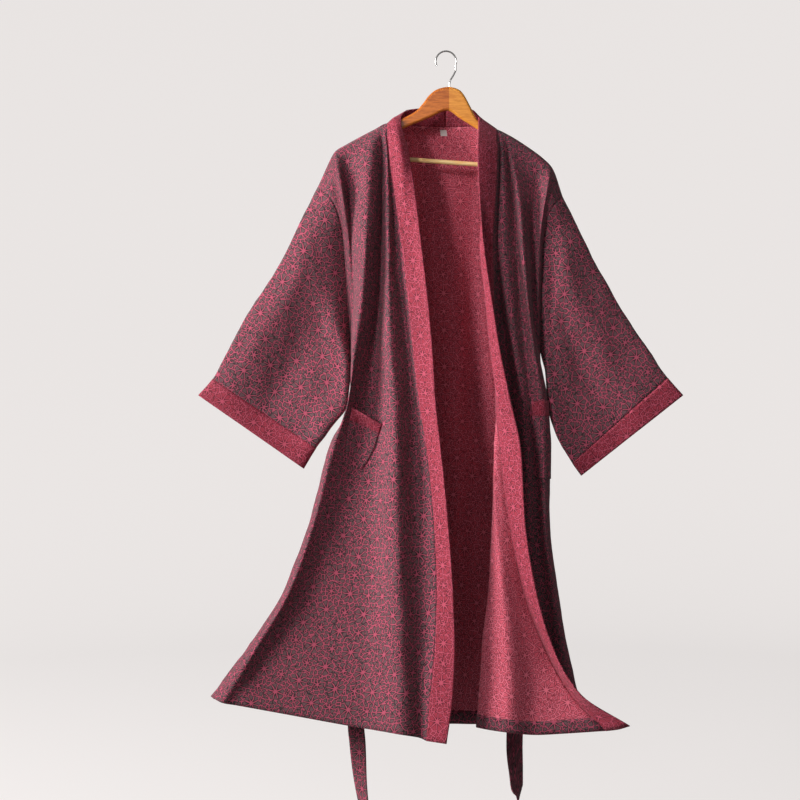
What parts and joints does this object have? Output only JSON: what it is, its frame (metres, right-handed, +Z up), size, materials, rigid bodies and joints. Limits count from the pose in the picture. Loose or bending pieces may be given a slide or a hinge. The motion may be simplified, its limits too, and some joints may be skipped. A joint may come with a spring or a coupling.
{
  "type": "kimono robe and hanger",
  "caption": "Long open-front kimono robe in patterned cotton, with wide sleeves, contrast collar band and cuffs, patch pockets and a tie belt, hanging on a wooden hanger.",
  "frame": {"origin": "the inside of the hook's crown, where it rests on a rod", "axes": "+Z up, +Y towards the back of the robe, +X to the wearer's left, which is the viewer's right from the front"},
  "size_m": [0.9702, 0.2355, 1.542],
  "materials": {
    "outer_cloth": "matte cotton jacquard",
    "reverse_cloth": "matte cotton jacquard",
    "label_cloth": "matte",
    "varnished_wood": "satin varnish",
    "pale_wood": "satin varnish",
    "steel": "polished"
  },
  "bodies": {
    "root": {"back": "outer_cloth", "right_front": "outer_cloth", "left_front": "outer_cloth", "right_sleeve": "outer_cloth", "left_sleeve": "outer_cloth", "right_pocket": "outer_cloth", "left_pocket": "outer_cloth", "right_loop": "outer_cloth", "left_loop": "outer_cloth", "belt": "outer_cloth", "right_band": "reverse_cloth", "left_band": "reverse_cloth", "right_cuff": "reverse_cloth", "left_cuff": "reverse_cloth", "right_pocket_band": "reverse_cloth", "left_pocket_band": "reverse_cloth", "label": "label_cloth", "hanger_wood": "varnished_wood", "hanger_bar": "pale_wood", "hanger_hook": "steel"}
  },
  "joints": []
}
